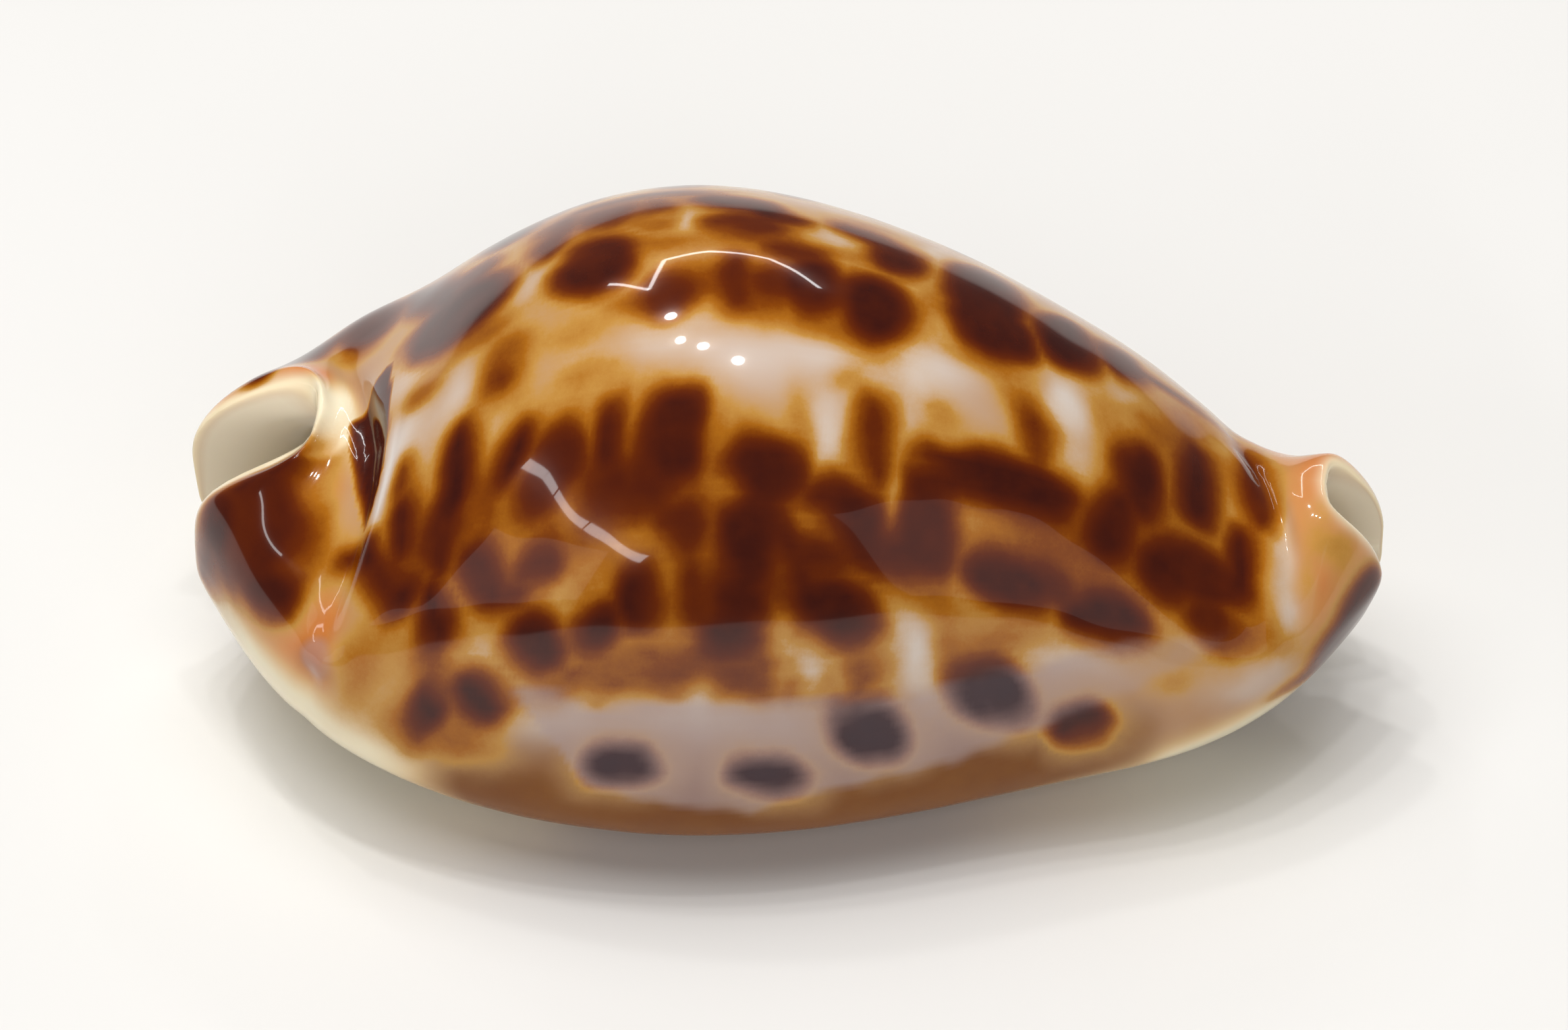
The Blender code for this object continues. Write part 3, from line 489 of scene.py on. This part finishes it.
def relief(u, psi, points, info):
    """Height of the creases, lumps, ripples and teeth over the plain sheet.

    A lump is a bell round its centre, the ripples are crossed waves, and the teeth are a raised cosine along
    the lips.
    """
    a_deg = np.degrees(info["a"])
    skin = info["lip"] <= 0
    left = info["side"] < 0
    x_plain = -HALF_LENGTH * np.cos(psi)

    signed = np.where(left, -a_deg, a_deg)
    depth = np.interp(signed, COLLAR_A, COLLAR_DEPTH)
    width = np.interp(signed, COLLAR_A, COLLAR_WIDTH)
    past = past_line(psi, signed, COLLAR_A, COLLAR_PSI, COLLAR_SPAN)
    share, place, half = COLLAR_SWELLING
    height = np.where(skin, crease(past, depth, width, share, place + width, half), 0)

    depth = np.interp(signed, NECK_A, NECK_DEPTH)
    past = past_line(psi, signed, NECK_A, NECK_PSI, NECK_SPAN)
    height = height + np.where(skin, crease(past, depth, NECK_WIDTH, *NECK_SWELLING), 0)

    for psi_deg, lump_a, side, high, radius in (SPIRE, NODULE):
        away = np.linalg.norm(points - skin_point(psi_deg, lump_a, side), axis=-1)
        height = height + np.where(skin, high * bell(away / radius), 0)

    ripples = wave_noise(x_plain, MEAN_RADIUS * rad(signed), RIPPLE_LENGTH, 14)
    height = height + np.where(skin, RIPPLE_HEIGHT * ripples * (1 - between(a_deg, RIPPLES_END)), 0)

    wave = ((1 + np.cos(2 * PI * TOOTH_PITCHES * u)) / 2) ** TOOTH_POWER
    edge = curve(SLIT_AT, SLIT_HALF, x_plain) + LIP_ROUND
    away = np.abs(points[..., 1] - curve(SLIT_AT, SLIT_Y, x_plain)) - edge
    reach = np.where(left, OUTER_TOOTH_REACH, INNER_TOOTH_REACH)
    on_base = 0.5 * (1 - smooth(away / reach)) * (a_deg > TEETH_FROM_DEG)
    on_lip = (0.5 + 0.5 * smooth(info["lip"] / 0.35)) * (1 - smooth((info["lip"] - 0.5) / 0.4))
    tall = np.where(left, OUTER_TOOTH, INNER_TOOTH * (1 + smooth(np.abs(u - 0.5) * 3)))
    return height + tall * tooth_zone(u) * wave * np.where(skin, on_base, on_lip)


def wave_noise(x, g, size, seed):
    """A smooth field from about -1 to 1: six crossed sine waves of wavelength near size."""
    random = np.random.default_rng(seed)
    total = 0.0
    for _ in range(6):
        way = random.uniform(0, 2 * PI)
        length = size * random.uniform(0.7, 1.5)
        start = random.uniform(0, 2 * PI)
        total = total + np.sin((x * np.cos(way) + g * np.sin(way)) * 2 * PI / length + start)
    return total / 3


def oval(x, g, centre_x, centre_g, long, short, tilt):
    """Distance from an oval's centre in units of its own radius, and that radius's length that way, in mm."""
    c, s = np.cos(rad(tilt)), np.sin(rad(tilt))
    dx, dg = x - centre_x, g - centre_g
    along, across = (dx * c + dg * s) / long, (dg * c - dx * s) / short
    reach = np.sqrt(along ** 2 + across ** 2) + 1e-6
    steep = np.sqrt((along / long) ** 2 + (across / short) ** 2) / reach + 1e-6
    return reach, 1 / steep


def row_girth(girth, x):
    """Girth of a row on the far side at x. The rows draw together towards the two ends."""
    return girth * (1 - (x / 60) ** 2)


def far_side_stains():
    """Stains on the side that the photograph does not show.

    There are four uneven rows, each stain with a smaller one beside it, and a row of spots on the margin.
    """
    random = np.random.default_rng(FAR_STAIN_SEED)
    found = []
    for girth, start, end, pitch, grown in FAR_ROWS:
        for x in np.arange(start, end, pitch):
            shift, slide, long, short, tilt, way, deep = random.uniform(-1, 1, 7)
            here = (x + 1.6 * shift, row_girth(girth, x) + 1.5 * slide)
            size = grown * (1.15 + 0.45 * deep)
            beside = here + 2.4 * size * np.array([np.cos(3 * way), np.sin(3 * way)])
            found.append((*here, size * (1.9 + 0.7 * long), size * (1.5 + 0.5 * short), 90 * tilt,
                          0.86 + 0.14 * deep))
            found.append((*beside, size * (1.3 + 0.5 * short), size * (1.0 + 0.4 * long), 80 * way,
                          0.72 + 0.2 * slide))
    for x in np.arange(-23, 25, 7.8):
        shift, slide, long, short, tilt = random.uniform(-1, 1, 5)
        place = (x + 1.4 * shift, 36.6 - 0.016 * x * x + slide)
        found.append((*place, 2.2 + 0.4 * long, 1.4 + 0.2 * short, 25 * tilt, 1.0))
    found += [(-34.5, 12.0, 4.6, 2.4, -60, 0.85), (37.5, 12.0, 3.8, 1.5, -68, 0.85)]
    return found


def far_side_clouds(seed):
    """Soft patches for the same side, thrown at random along three rows."""
    random = np.random.default_rng(seed)
    found = []
    for x in np.arange(-25, 27, 3.4):
        for girth in FAR_PATCH_ROWS:
            shift, slide, long, short, tilt = random.uniform(-1, 1, 5)
            found.append((x + 1.6 * shift, row_girth(girth, x) + 3 * slide, 2.6 + 1.2 * long,
                          1.6 + 0.6 * short, 90 * tilt, 0.34 + 0.3 * short))
    return found


def pigment(x, g, pale):
    """Depth of the brown from 0 to 1 over the skin.

    Each stain is an oval with wavy edges. Its level rises with the depth inside the oval's edge, and is
    joined with the others' by a soft maximum. The clouds are bells that add up as layers of glaze do, and
    they thin out on the pale patches. At the end the thin places take their shares away.
    """
    x_wavy = x + 0.2 * wave_noise(x, g, 5.0, 3) + 0.05 * wave_noise(x, g, 2.2, 4)
    g_wavy = g + 0.2 * wave_noise(x, g, 5.0, 5) + 0.05 * wave_noise(x, g, 2.2, 6)
    joined = np.zeros(x.shape)
    for *place, dark in STAINS + far_side_stains():
        reach, length = oval(x_wavy, g_wavy, *place)
        depth = (1 - reach) * length
        level = dark * (0.84 * between(depth, STAIN_EDGE) + 0.16 * between(depth, STAIN_HALO))
        joined = joined + level ** 4
    stains = joined ** 0.25
    clear = np.ones(x.shape)
    for *place, dark in CLOUDS + far_side_clouds(FAR_CLOUD_SEED):
        reach = oval(x_wavy, g_wavy, *place)[0]
        clear = clear * (1 - dark * bell(reach * 0.95) ** 1.3)
    cloudy = (1 - clear) * (1 - 0.8 * pale)
    brown = 1 - (1 - np.clip(stains, 0, 1)) * (1 - 0.75 * cloudy)
    for *place, taken in THIN:
        reach = oval(x_wavy, g_wavy, *place)[0]
        brown = brown * (1 - taken * bell(reach * 0.9))
    return brown


def paleness(x, g):
    """Share of the pale tone in the ground: bells that add up as layers do."""
    x_wavy = x + 0.3 * wave_noise(x, g, 4.0, 7)
    g_wavy = g + 0.3 * wave_noise(x, g, 4.0, 8)
    clear = np.ones(x.shape)
    for *place, strength in PALE + far_side_clouds(FAR_PALE_SEED):
        reach = oval(x_wavy, g_wavy, *place)[0]
        clear = clear * (1 - strength * bell(reach * 0.9))
    return 1 - clear


def milk_and_reflection_share(x, g):
    """Share of the milky outer layer, partly real glaze and partly a painted reflection of a pale panel: a
    long band with wavy edges over the lowest spots.
    """
    sway = 0.35 * wave_noise(x, g, 7.0, 9) + 0.15 * wave_noise(x, g, 3.0, 10)
    top = np.interp(x, MILK_AND_REFLECTION_X, MILK_AND_REFLECTION_TOP) + sway
    bottom = np.interp(x, MILK_AND_REFLECTION_X, MILK_AND_REFLECTION_BOTTOM) + sway
    share = smooth((top - g) / 1.1 + 0.5) * smooth((g - bottom) / 1.1 + 0.5)
    return share * smooth((top - bottom) / 2.0) * (1 - 0.5 * smooth((x - 17) / 8))


def along_surface(points):
    """Girth over the skin, and how far every point is from the rear and front rims along the rows, in mm.

    Girth is the length of the skin's curve from the line along the back.
    """
    steps = np.linalg.norm(np.diff(points[:, :BACK + 1], axis=1), axis=-1)
    girth = np.concatenate([np.zeros((len(points), 1)), np.cumsum(steps, 1)], 1)
    rows = np.linalg.norm(np.diff(points, axis=0), axis=-1)
    from_rear = np.concatenate([np.zeros((1, points.shape[1])), np.cumsum(rows, 0)], 0)
    return girth - girth[:, BACK // 2:BACK // 2 + 1], from_rear, from_rear[-1:] - from_rear


def crescent_fields(psi, signed):
    """The dark crescent, which has a sharp front edge, and the pale streak that runs beside it."""
    past = past_line(psi, signed, CRESCENT_A, CRESCENT_PSI, CRESCENT_SPAN)
    wide = np.interp(signed, CRESCENT_A, CRESCENT_WIDTH)
    crescent = smooth(-past / 0.35) * smooth((past + wide) / 1.4 + 0.5) * smooth(wide / 0.6)
    streak = bell((past - 0.9) / 0.75) * between(signed, STREAK_BEGINS)
    streak = streak * (1 - 0.6 * between(signed, STREAK_WEAKENS)) * (1 - between(signed, STREAK_ENDS))
    return crescent, streak


def colour_fields(u, points, psi, info):
    """The fields that the glaze is painted with, each from 0 to 1 at every point."""
    skin = info["lip"] <= 0
    a_deg = np.degrees(info["a"])
    signed = np.where(info["side"] < 0, -a_deg, a_deg)
    x, y = points[..., 0], points[..., 1]
    girth, from_rear, from_front = along_surface(points)

    def over_skin(values):
        """The skin's values, and 0 on the lips and in the hollow."""
        full = np.zeros(x.shape)
        full[:, :BACK + 1] = values
        return full

    skin_x = x[:, :BACK + 1]
    patches = paleness(skin_x, girth)
    crescent, streak = crescent_fields(psi, signed)
    brown = over_skin(pigment(skin_x, girth, patches)) * (1 - streak)
    brown = np.where(skin, np.maximum(brown, crescent), 0)
    pale = np.where(skin, np.maximum(over_skin(patches), streak), 0)

    # the brown fades towards the base, and stays off the two rims and the nodule
    rim = np.where(skin, bell(from_rear / RIM_ON_SKIN) + bell(from_front / RIM_ON_SKIN), 0)
    nodule = bell(np.linalg.norm(points - skin_point(*NODULE[:3]), axis=-1) / NODULE_TONE_RADIUS) * skin
    brown = brown * np.where(skin, 1 - between(a_deg, BROWN_ENDS), 0)
    brown = brown * (1 - np.clip(rim, 0, 1)) * (1 - nodule)
    rim_inside = np.where(skin, 0, bell(from_rear / RIM_INSIDE) + bell(from_front / RIM_INSIDE))
    rim = np.clip(rim + rim_inside, 0, 1)

    # the base is tan in its middle and cream at both ends
    sway = 2.2 * wave_noise(x, y, 14.0, 12) + 0.8 * wave_noise(x, y, 5.0, 13)
    below = between(a_deg, BASE_BEGINS)
    middle = smooth((x + 24.5 + sway) / (6 + 9 * below)) * smooth((28 - x + sway) / (9 + 9 * below))
    tan = np.where(skin, between(a_deg, TAN_BEGINS) * (1 - 0.5 * between(a_deg, TAN_WEAKENS)) * middle, 0)
    cream_from = np.where(x < 0, REAR_CREAM, FRONT_CREAM)
    ends = np.where(skin, smooth((a_deg - cream_from) / CREAM_EASE) * (1 - middle), 0)

    # between the teeth lies some more tan
    gaps = tooth_zone(u) * (1 - np.cos(2 * PI * TOOTH_PITCHES * u)) / 2
    by_slit = np.where(skin, between(a_deg, SLIT_BEGINS), 1 - smooth(info["lip"] / 0.7))
    tan = np.maximum(tan, 0.6 * gaps * by_slit)

    # orange lies round the canals, but the top of the rear one is cream, and buff just inside
    collar = rad(np.interp(signed, COLLAR_A, COLLAR_PSI) + 8 * between(a_deg, ORANGE_SHIFTS))
    neck = rad(np.interp(signed, NECK_A, NECK_PSI))
    orange = smooth((collar - psi - rad(2)) / rad(6)) + 0.8 * smooth((psi - neck + rad(1)) / rad(7))
    orange = np.where(skin, orange * (1 - between(a_deg, ORANGE_ENDS)), 0)
    saddle = (1 - between(a_deg, SADDLE_ENDS)) * (x < 0) * skin
    buff = (1 - between(a_deg, BUFF_ENDS)) * (x < 0) * bell(from_rear / 3.0) * ~skin
    orange = orange * (1 - 0.85 * saddle)
    ends = np.clip(ends + saddle * smooth((collar - psi) / rad(3)) + buff, 0, 1)

    deep = np.minimum(from_rear, from_front)
    lining = np.where(skin, 0, smooth(info["lip"] / 0.6)) * smooth((deep - 0.2) / 1.6) * (1 - 0.7 * buff)
    # the milky band low on the outer lip's side is partly real glaze and partly a painted reflection
    milk = over_skin(milk_and_reflection_share(skin_x, girth))

    # the gloss is weaker low on the sides and on the far side
    gloss = 1 - 0.7 * between(a_deg, GLOSS_WEAKENS) * skin
    gloss = gloss * (1 - 0.45 * between(signed, FAR_GLOSS_WEAKENS))
    return {"brown": brown, "pale": pale, "tan": tan, "ends": ends, "orange": orange, "lining": lining,
            "rim": rim, "nodule": nodule, "milk": milk, "gloss": gloss}


def shell_surface():
    """Points of every section with the relief, and the colour fields at the same points.

    The shell's middle is moved to the origin, and what would lie below the ground is worn flat.
    """
    u = np.linspace(0, 1, ROWS + 1)[:, None]
    psi = row_angle(u)
    points, info = sections(psi)
    fields = colour_fields(u, points, psi, info)
    points = worn_rims(psi, points, info)
    height = relief(u, psi, points, info) * rise(psi)
    points = points + outward(points) * height[..., None]
    points[..., 2] = np.maximum(points[..., 2], 0)
    return points - MIDDLE, fields


def unroll(grid):
    """The grid's values in the order of the mesh's vertices: inner rows, rear rim, front rim."""
    inner = grid[1:-1].reshape(-1, *grid.shape[2:])
    return np.concatenate([inner, grid[0, :BACK + 1], grid[-1, :BACK + 1]])


def shell_faces(around):
    """Faces of the closed loops, as whole arrays of corners.

    Four-cornered faces join each row to the next. The first and last rows join the two canals' rims, where
    skin and hollow share their points, by triangles or by faces with more corners.
    """
    column = np.arange(around)
    beside = (column + 1) % around
    row = np.arange(ROWS - 2)[:, None] * around
    quads = np.stack([row + column, row + around + column, row + around + beside, row + beside], -1)
    step = BACK // INSIDE
    rim_of = np.concatenate([np.arange(BACK + 1), np.full(LIP - 1, BACK),
                             BACK - step * np.arange(INSIDE + 1), np.zeros(LIP - 1, int)])
    faces = quads.reshape(-1, 4).tolist()
    rear = (ROWS - 1) * around
    last = (ROWS - 2) * around
    for here, there in zip(column, beside):
        way = 1 if rim_of[there] >= rim_of[here] else -1
        path = list(range(rim_of[here], rim_of[there] + way, way))
        faces.append([here, there] + [rear + k for k in path[::-1]])
        faces.append([last + there, last + here] + [rear + BACK + 1 + k for k in path])
    return faces


class Wire:
    """A socket's value in a material. Arithmetic on it adds Math nodes."""

    def __init__(self, bench, socket):
        self.bench = bench
        self.socket = socket

    def maths(self, operation, first, second):
        """The result of one Math node on two values."""
        return self.bench.node("ShaderNodeMath", {"operation": operation}, {0: first, 1: second})

    def __add__(self, other):
        return self.maths("ADD", self, other)

    def __sub__(self, other):
        return self.maths("SUBTRACT", self, other)

    def __mul__(self, other):
        return self.maths("MULTIPLY", self, other)

    def __rsub__(self, other):
        return self.maths("SUBTRACT", other, self)

    __radd__ = __add__
    __rmul__ = __mul__

    def held(self):
        """The value held between 0 and 1."""
        return self.bench.node("ShaderNodeClamp", {}, {"Value": self})


class Bench:
    """The node tree of one material, and the ways to add to it."""

    def __init__(self, name):
        self.material = bpy.data.materials.new(name)
        self.material.use_nodes = True
        self.tree = self.material.node_tree
        self.tree.nodes.clear()

    def node(self, kind, settings, inputs, output=0):
        """Adds a node: its settings, then the values or links of its sockets. Gives one of its outputs."""
        made = self.tree.nodes.new(kind)
        for name, value in settings.items():
            if name == "stops":
                ramp = made.color_ramp
                for place, colour in value[1:-1]:
                    ramp.elements.new(place)
                for stop, (place, colour) in zip(ramp.elements, value):
                    stop.position = place
                    stop.color = colour
            else:
                setattr(made, name, value)
        for name, value in inputs.items():
            if isinstance(value, Wire):
                self.tree.links.new(value.socket, made.inputs[name])
            else:
                made.inputs[name].default_value = value
        return Wire(self, made.outputs[output]) if len(made.outputs) else None

    def mix(self, share, first, second):
        """Colour between first and second."""
        return self.node("ShaderNodeMix", {"data_type": "RGBA"}, {0: share, 6: first, 7: second}, 2)

    def field(self, name):
        """The number that the mesh carries at each point under this name."""
        return self.node("ShaderNodeAttribute", {"attribute_name": name}, {}, "Fac")

    def noise(self, place, size_mm, detail):
        """Noise from 0 to 1 with grains of about size_mm."""
        settings = {"Vector": place, "Scale": 1 / (size_mm * MM), "Detail": detail}
        return self.node("ShaderNodeTexNoise", {}, settings, "Fac")

    def finish(self, shader):
        """Links the shader to the output, and gives the material."""
        self.node("ShaderNodeOutputMaterial", {}, {"Surface": shader})
        return self.material


def srgb(colour):
    """Linear colour from a picture's red, green and blue."""
    share = np.array(colour) / 255
    linear = np.where(share <= 0.04045, share / 12.92, ((share + 0.055) / 1.055) ** 2.4)
    return (*linear.tolist(), 1.0)


def glaze_material():
    """The shell's glassy enamel.

    The ground is cream with paler patches, tan along the margin, ivory at the ends, orange round the canals
    and grey-white in the hollow. The brown field is read through a ramp, from gold at a stain's edge to near
    black in its middle. The milky layer comes last; it is partly real glaze and partly a painted reflection.
    """
    bench = Bench("glazed_shell")
    place = bench.node("ShaderNodeTexCoord", {}, {}, "Object")
    mottle = bench.noise(place, 4.0, 4.0)
    patches = bench.noise(place, 2.2, 3.0)
    grain = bench.noise(place, 0.55, 3.0)
    fine = bench.noise(place, 0.16, 2.0)

    ground = bench.mix(mottle, *map(srgb, GROUND))
    ground = bench.mix(bench.field("pale"), ground, srgb(PALE_TONE))
    ground = bench.mix(bench.field("orange"), ground, bench.mix(mottle, *map(srgb, ORANGE)))
    ground = bench.mix(bench.field("tan"), ground, bench.mix(mottle, *map(srgb, TAN)))
    ends = bench.field("ends")
    ground = bench.mix(ends, ground, srgb(ENDS[0]))
    ground = bench.mix(ends * ends * ends, ground, srgb(ENDS[1]))
    ground = bench.mix(bench.field("rim"), ground, srgb(RIM_TONE))
    ground = bench.mix(bench.field("lining"), ground, srgb(LINING))
    nodule = bench.field("nodule")
    ground = bench.mix((nodule * 1.4).held(), ground, srgb(NODULE_TONES[0]))
    ground = bench.mix((nodule * 3.2 - 1.1).held(), ground, srgb(NODULE_TONES[1]))

    brown = bench.field("brown")
    edge = (brown * (1 - brown)) * 4
    brown = brown * (1 - 0.3 * (patches - 0.35).held()) + edge * (0.12 * (grain - 0.5) + 0.06 * (fine - 0.5))
    brown = brown.held()
    stops = [(at, srgb(colour)) for at, colour in BROWNS]
    stain = bench.node("ShaderNodeValToRGB", {"stops": stops}, {"Fac": brown})
    colour = bench.mix((brown * 6.0).held(), ground, stain)
    # the milky tone greys the lowest spots: partly real glaze, partly a painted reflection of a pale panel
    milk_and_reflection_colour = bench.mix((brown * 1.3 - 0.2).held(), *map(srgb, MILK_AND_REFLECTION_TONES))
    colour = bench.mix(bench.field("milk") * (0.5 + 0.3 * mottle), colour, milk_and_reflection_colour)

    height = bench.noise(place, 2.6, 2.0) * 0.75 + bench.noise(place, 0.4, 3.0) * 0.06
    raised = {"Height": height, "Strength": 0.35, "Distance": 0.05 * MM}
    rough = 0.12 + 0.08 * mottle + 0.2 * bench.field("lining")
    shader = bench.node("ShaderNodeBsdfPrincipled", {}, {
        "Base Color": colour, "Roughness": rough, "Specular IOR Level": 0.12,
        "Normal": bench.node("ShaderNodeBump", {}, raised, "Normal"),
        "Coat Weight": 0.7 * bench.field("gloss"), "Coat Roughness": 0.035, "Coat IOR": 1.5,
        "Subsurface Weight": 0.06, "Subsurface Radius": (1.0, 0.5, 0.25), "Subsurface Scale": 1.2 * MM})
    return bench.finish(shader)


def floor_material():
    """A matt floor, nearly white, with faint clouds."""
    bench = Bench("pale_floor")
    place = bench.node("ShaderNodeTexCoord", {}, {}, "Object")
    colour = bench.mix(bench.noise(place, 60.0, 3.0), *map(srgb, STUDIO_FLOOR))
    shader = bench.node("ShaderNodeBsdfPrincipled", {}, {"Base Color": colour, "Roughness": 0.75})
    return bench.finish(shader)


def make_piece(name, verts, faces, material, fields=()):
    """A mesh object at the origin, shaded smooth, with one number per vertex for each field."""
    mesh = bpy.data.meshes.new(name)
    mesh.from_pydata(verts, [], faces)
    for field, values in dict(fields).items():
        mesh.attributes.new(field, "FLOAT", "POINT").data.foreach_set("value", values.astype(np.float32))
    mesh.update()
    mesh.shade_smooth()
    mesh.materials.append(material)
    piece = bpy.data.objects.new(name, mesh)
    bpy.context.scene.collection.objects.link(piece)
    return piece


def make_shell():
    """The shell with its fields and glaze, tied to the solid that it stands for."""
    points, fields = shell_surface()
    verts = unroll(points) * MM
    painted = {name: unroll(values) for name, values in fields.items()}
    shell = make_piece("glazed_cowry", verts, shell_faces(points.shape[1]), glaze_material(), painted)
    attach(shell, "root")
    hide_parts("cowry_shell")


# The camera: where it stands, in degrees and millimetres, and the photograph's frame
VIEW_ACROSS_DEG = 3.5
VIEW_DOWN_DEG = 45.0
VIEW_DISTANCE = 600.0
VIEW_CENTRE = np.array([0.27, -0.40, 16.0])
CENTRE_LEFT, CENTRE_DOWN = 0.198, 1.103
FRAME_WIDTH = 104.98
SENSOR = 36.0

# Broad lights: name, direction, metres away, width and height, watts, and whether the gloss mirrors them
SOFT_LIGHTS = [("roof_softbox", (-0.15, 0.05, 1.0), 1.3, (1.2, 1.2), 14, False),
               ("front_softbox", (0.3, -1.0, 0.75), 1.2, (0.9, 0.7), 3, False),
               ("left_panel", (-0.62, -0.7, 0.28), 1.1, (0.75, 0.30), 0.5, True),
               ("right_panel", (0.66, -0.68, 0.32), 1.1, (0.45, 0.5), 0.36, True)]

# Bent strips of light: the directions through which they run, their width in metres, and watts per metre
LEFT_STRIP = [(-0.82, -0.24, 0.55), (-0.70, -0.40, 0.55), (-0.63, -0.49, 0.53),
              (-0.42, -0.73, 0.47), (-0.30, -0.86, 0.41), (-0.18, -0.92, 0.35)]
BACK_STRIP = [(-0.50, 0.63, 0.60), (-0.34, 0.54, 0.77), (-0.25, 0.75, 0.61),
              (-0.07, 0.82, 0.57), (0.13, 0.79, 0.60), (0.29, 0.65, 0.70)]
LEFT_STRIP_WIDTH, BACK_STRIP_WIDTH = 0.034, 0.016
STRIP_WATTS = 0.9

# Small round lamps overhead: their directions, and their diameter in metres and power in watts
LAMPS = [(-0.25, 0.31, 0.92), (-0.19, 0.11, 0.98), (-0.06, 0.05, 1.0), (0.09, -0.05, 0.99)]
LAMP_SIZE = 0.055
LAMP_WATTS = 0.7

# Height at which the lights aim and half width of the floor, in metres, and the floor's drop in mm
AIM_HEIGHT = 0.02
FLOOR_HALF = 2.5
FLOOR_DROP = 0.02
SKY_STRENGTH = 0.1


def view_axes():
    """Unit vectors of the view: towards the camera, to the right and up."""
    across, down = rad(VIEW_ACROSS_DEG), rad(VIEW_DOWN_DEG)
    back = np.array([np.sin(across) * np.cos(down), -np.cos(across) * np.cos(down), np.sin(down)])
    right = np.array([np.cos(across), np.sin(across), 0.0])
    return back, right, np.cross(back, right)


def place_looking(thing, place, back, along=None):
    """Puts a camera or light at place, in metres, looking against back, with along to its right."""
    back = back / np.linalg.norm(back)
    right = np.cross([0.0, 0.0, 1.0], back) if along is None else along - back * np.dot(along, back)
    right = right / np.linalg.norm(right) if np.linalg.norm(right) > 1e-6 else np.array([1.0, 0.0, 0.0])
    up = np.cross(back, right)
    matrix = np.eye(4)
    matrix[:3] = np.stack([right, up, back, place], -1)
    thing.matrix_world = matrix.T.tolist()
    bpy.context.scene.collection.objects.link(thing)


def make_camera():
    """The photograph's camera: a long lens, above the shell and nearly straight across it."""
    back, right, up = view_axes()
    aim = VIEW_CENTRE - CENTRE_LEFT * right - CENTRE_DOWN * up
    data = bpy.data.cameras.new("camera")
    data.sensor_width = SENSOR
    data.lens = SENSOR * VIEW_DISTANCE / FRAME_WIDTH
    data.clip_start = 0.01
    camera = bpy.data.objects.new("camera", data)
    place_looking(camera, (aim + VIEW_DISTANCE * back) * MM, back)
    bpy.context.scene.camera = camera


def make_light(name, away, metres, size, watts, mirrored=True, along=None, shape="RECTANGLE"):
    """An area light that lies the given metres away along a direction, and shines at the shell's middle."""
    data = bpy.data.lights.new(name, "AREA")
    data.shape = shape
    data.size, data.size_y = size
    data.energy = watts
    light = bpy.data.objects.new(name, data)
    light.visible_glossy = mirrored
    away = np.array(away, float) / np.linalg.norm(away)
    place_looking(light, away * metres + np.array([0, 0, AIM_HEIGHT]), away, along)


def make_bent_strip(name, thick, bends):
    """A thin light one metre away that runs through the given directions, in straight pieces."""
    bends = np.array(bends)
    for count, (start, end) in enumerate(zip(bends[:-1], bends[1:]), 1):
        length = np.linalg.norm(end - start)
        make_light(f"{name}_{count}", start + end, 1.0, (length, thick), STRIP_WATTS * length,
                   along=end - start)


def make_studio():
    """A pale floor, a pale sky, broad soft lights, and small lamps overhead that glint on the back."""
    half, level = FLOOR_HALF, -FLOOR_DROP * MM
    corners = [(-half, -half, level), (half, -half, level), (half, half, level), (-half, half, level)]
    make_piece("floor", corners, [(0, 1, 2, 3)], floor_material())

    world = bpy.data.worlds.new("studio_sky")
    world.use_nodes = True
    sky = world.node_tree.nodes["Background"]
    sky.inputs["Color"].default_value = (1.0, 1.0, 1.0, 1.0)
    sky.inputs["Strength"].default_value = SKY_STRENGTH
    bpy.context.scene.world = world

    for name, away, metres, size, watts, mirrored in SOFT_LIGHTS:
        make_light(name, away, metres, size, watts, mirrored)
    make_bent_strip("left_strip", LEFT_STRIP_WIDTH, LEFT_STRIP)
    make_bent_strip("back_strip", BACK_STRIP_WIDTH, BACK_STRIP)
    for count, away in enumerate(LAMPS, 1):
        make_light(f"lamp_{count}", away, 1.0, (LAMP_SIZE, LAMP_SIZE), LAMP_WATTS, shape="DISK")
    bpy.context.scene.view_settings.view_transform = "Standard"


make_camera()
make_studio()
make_shell()
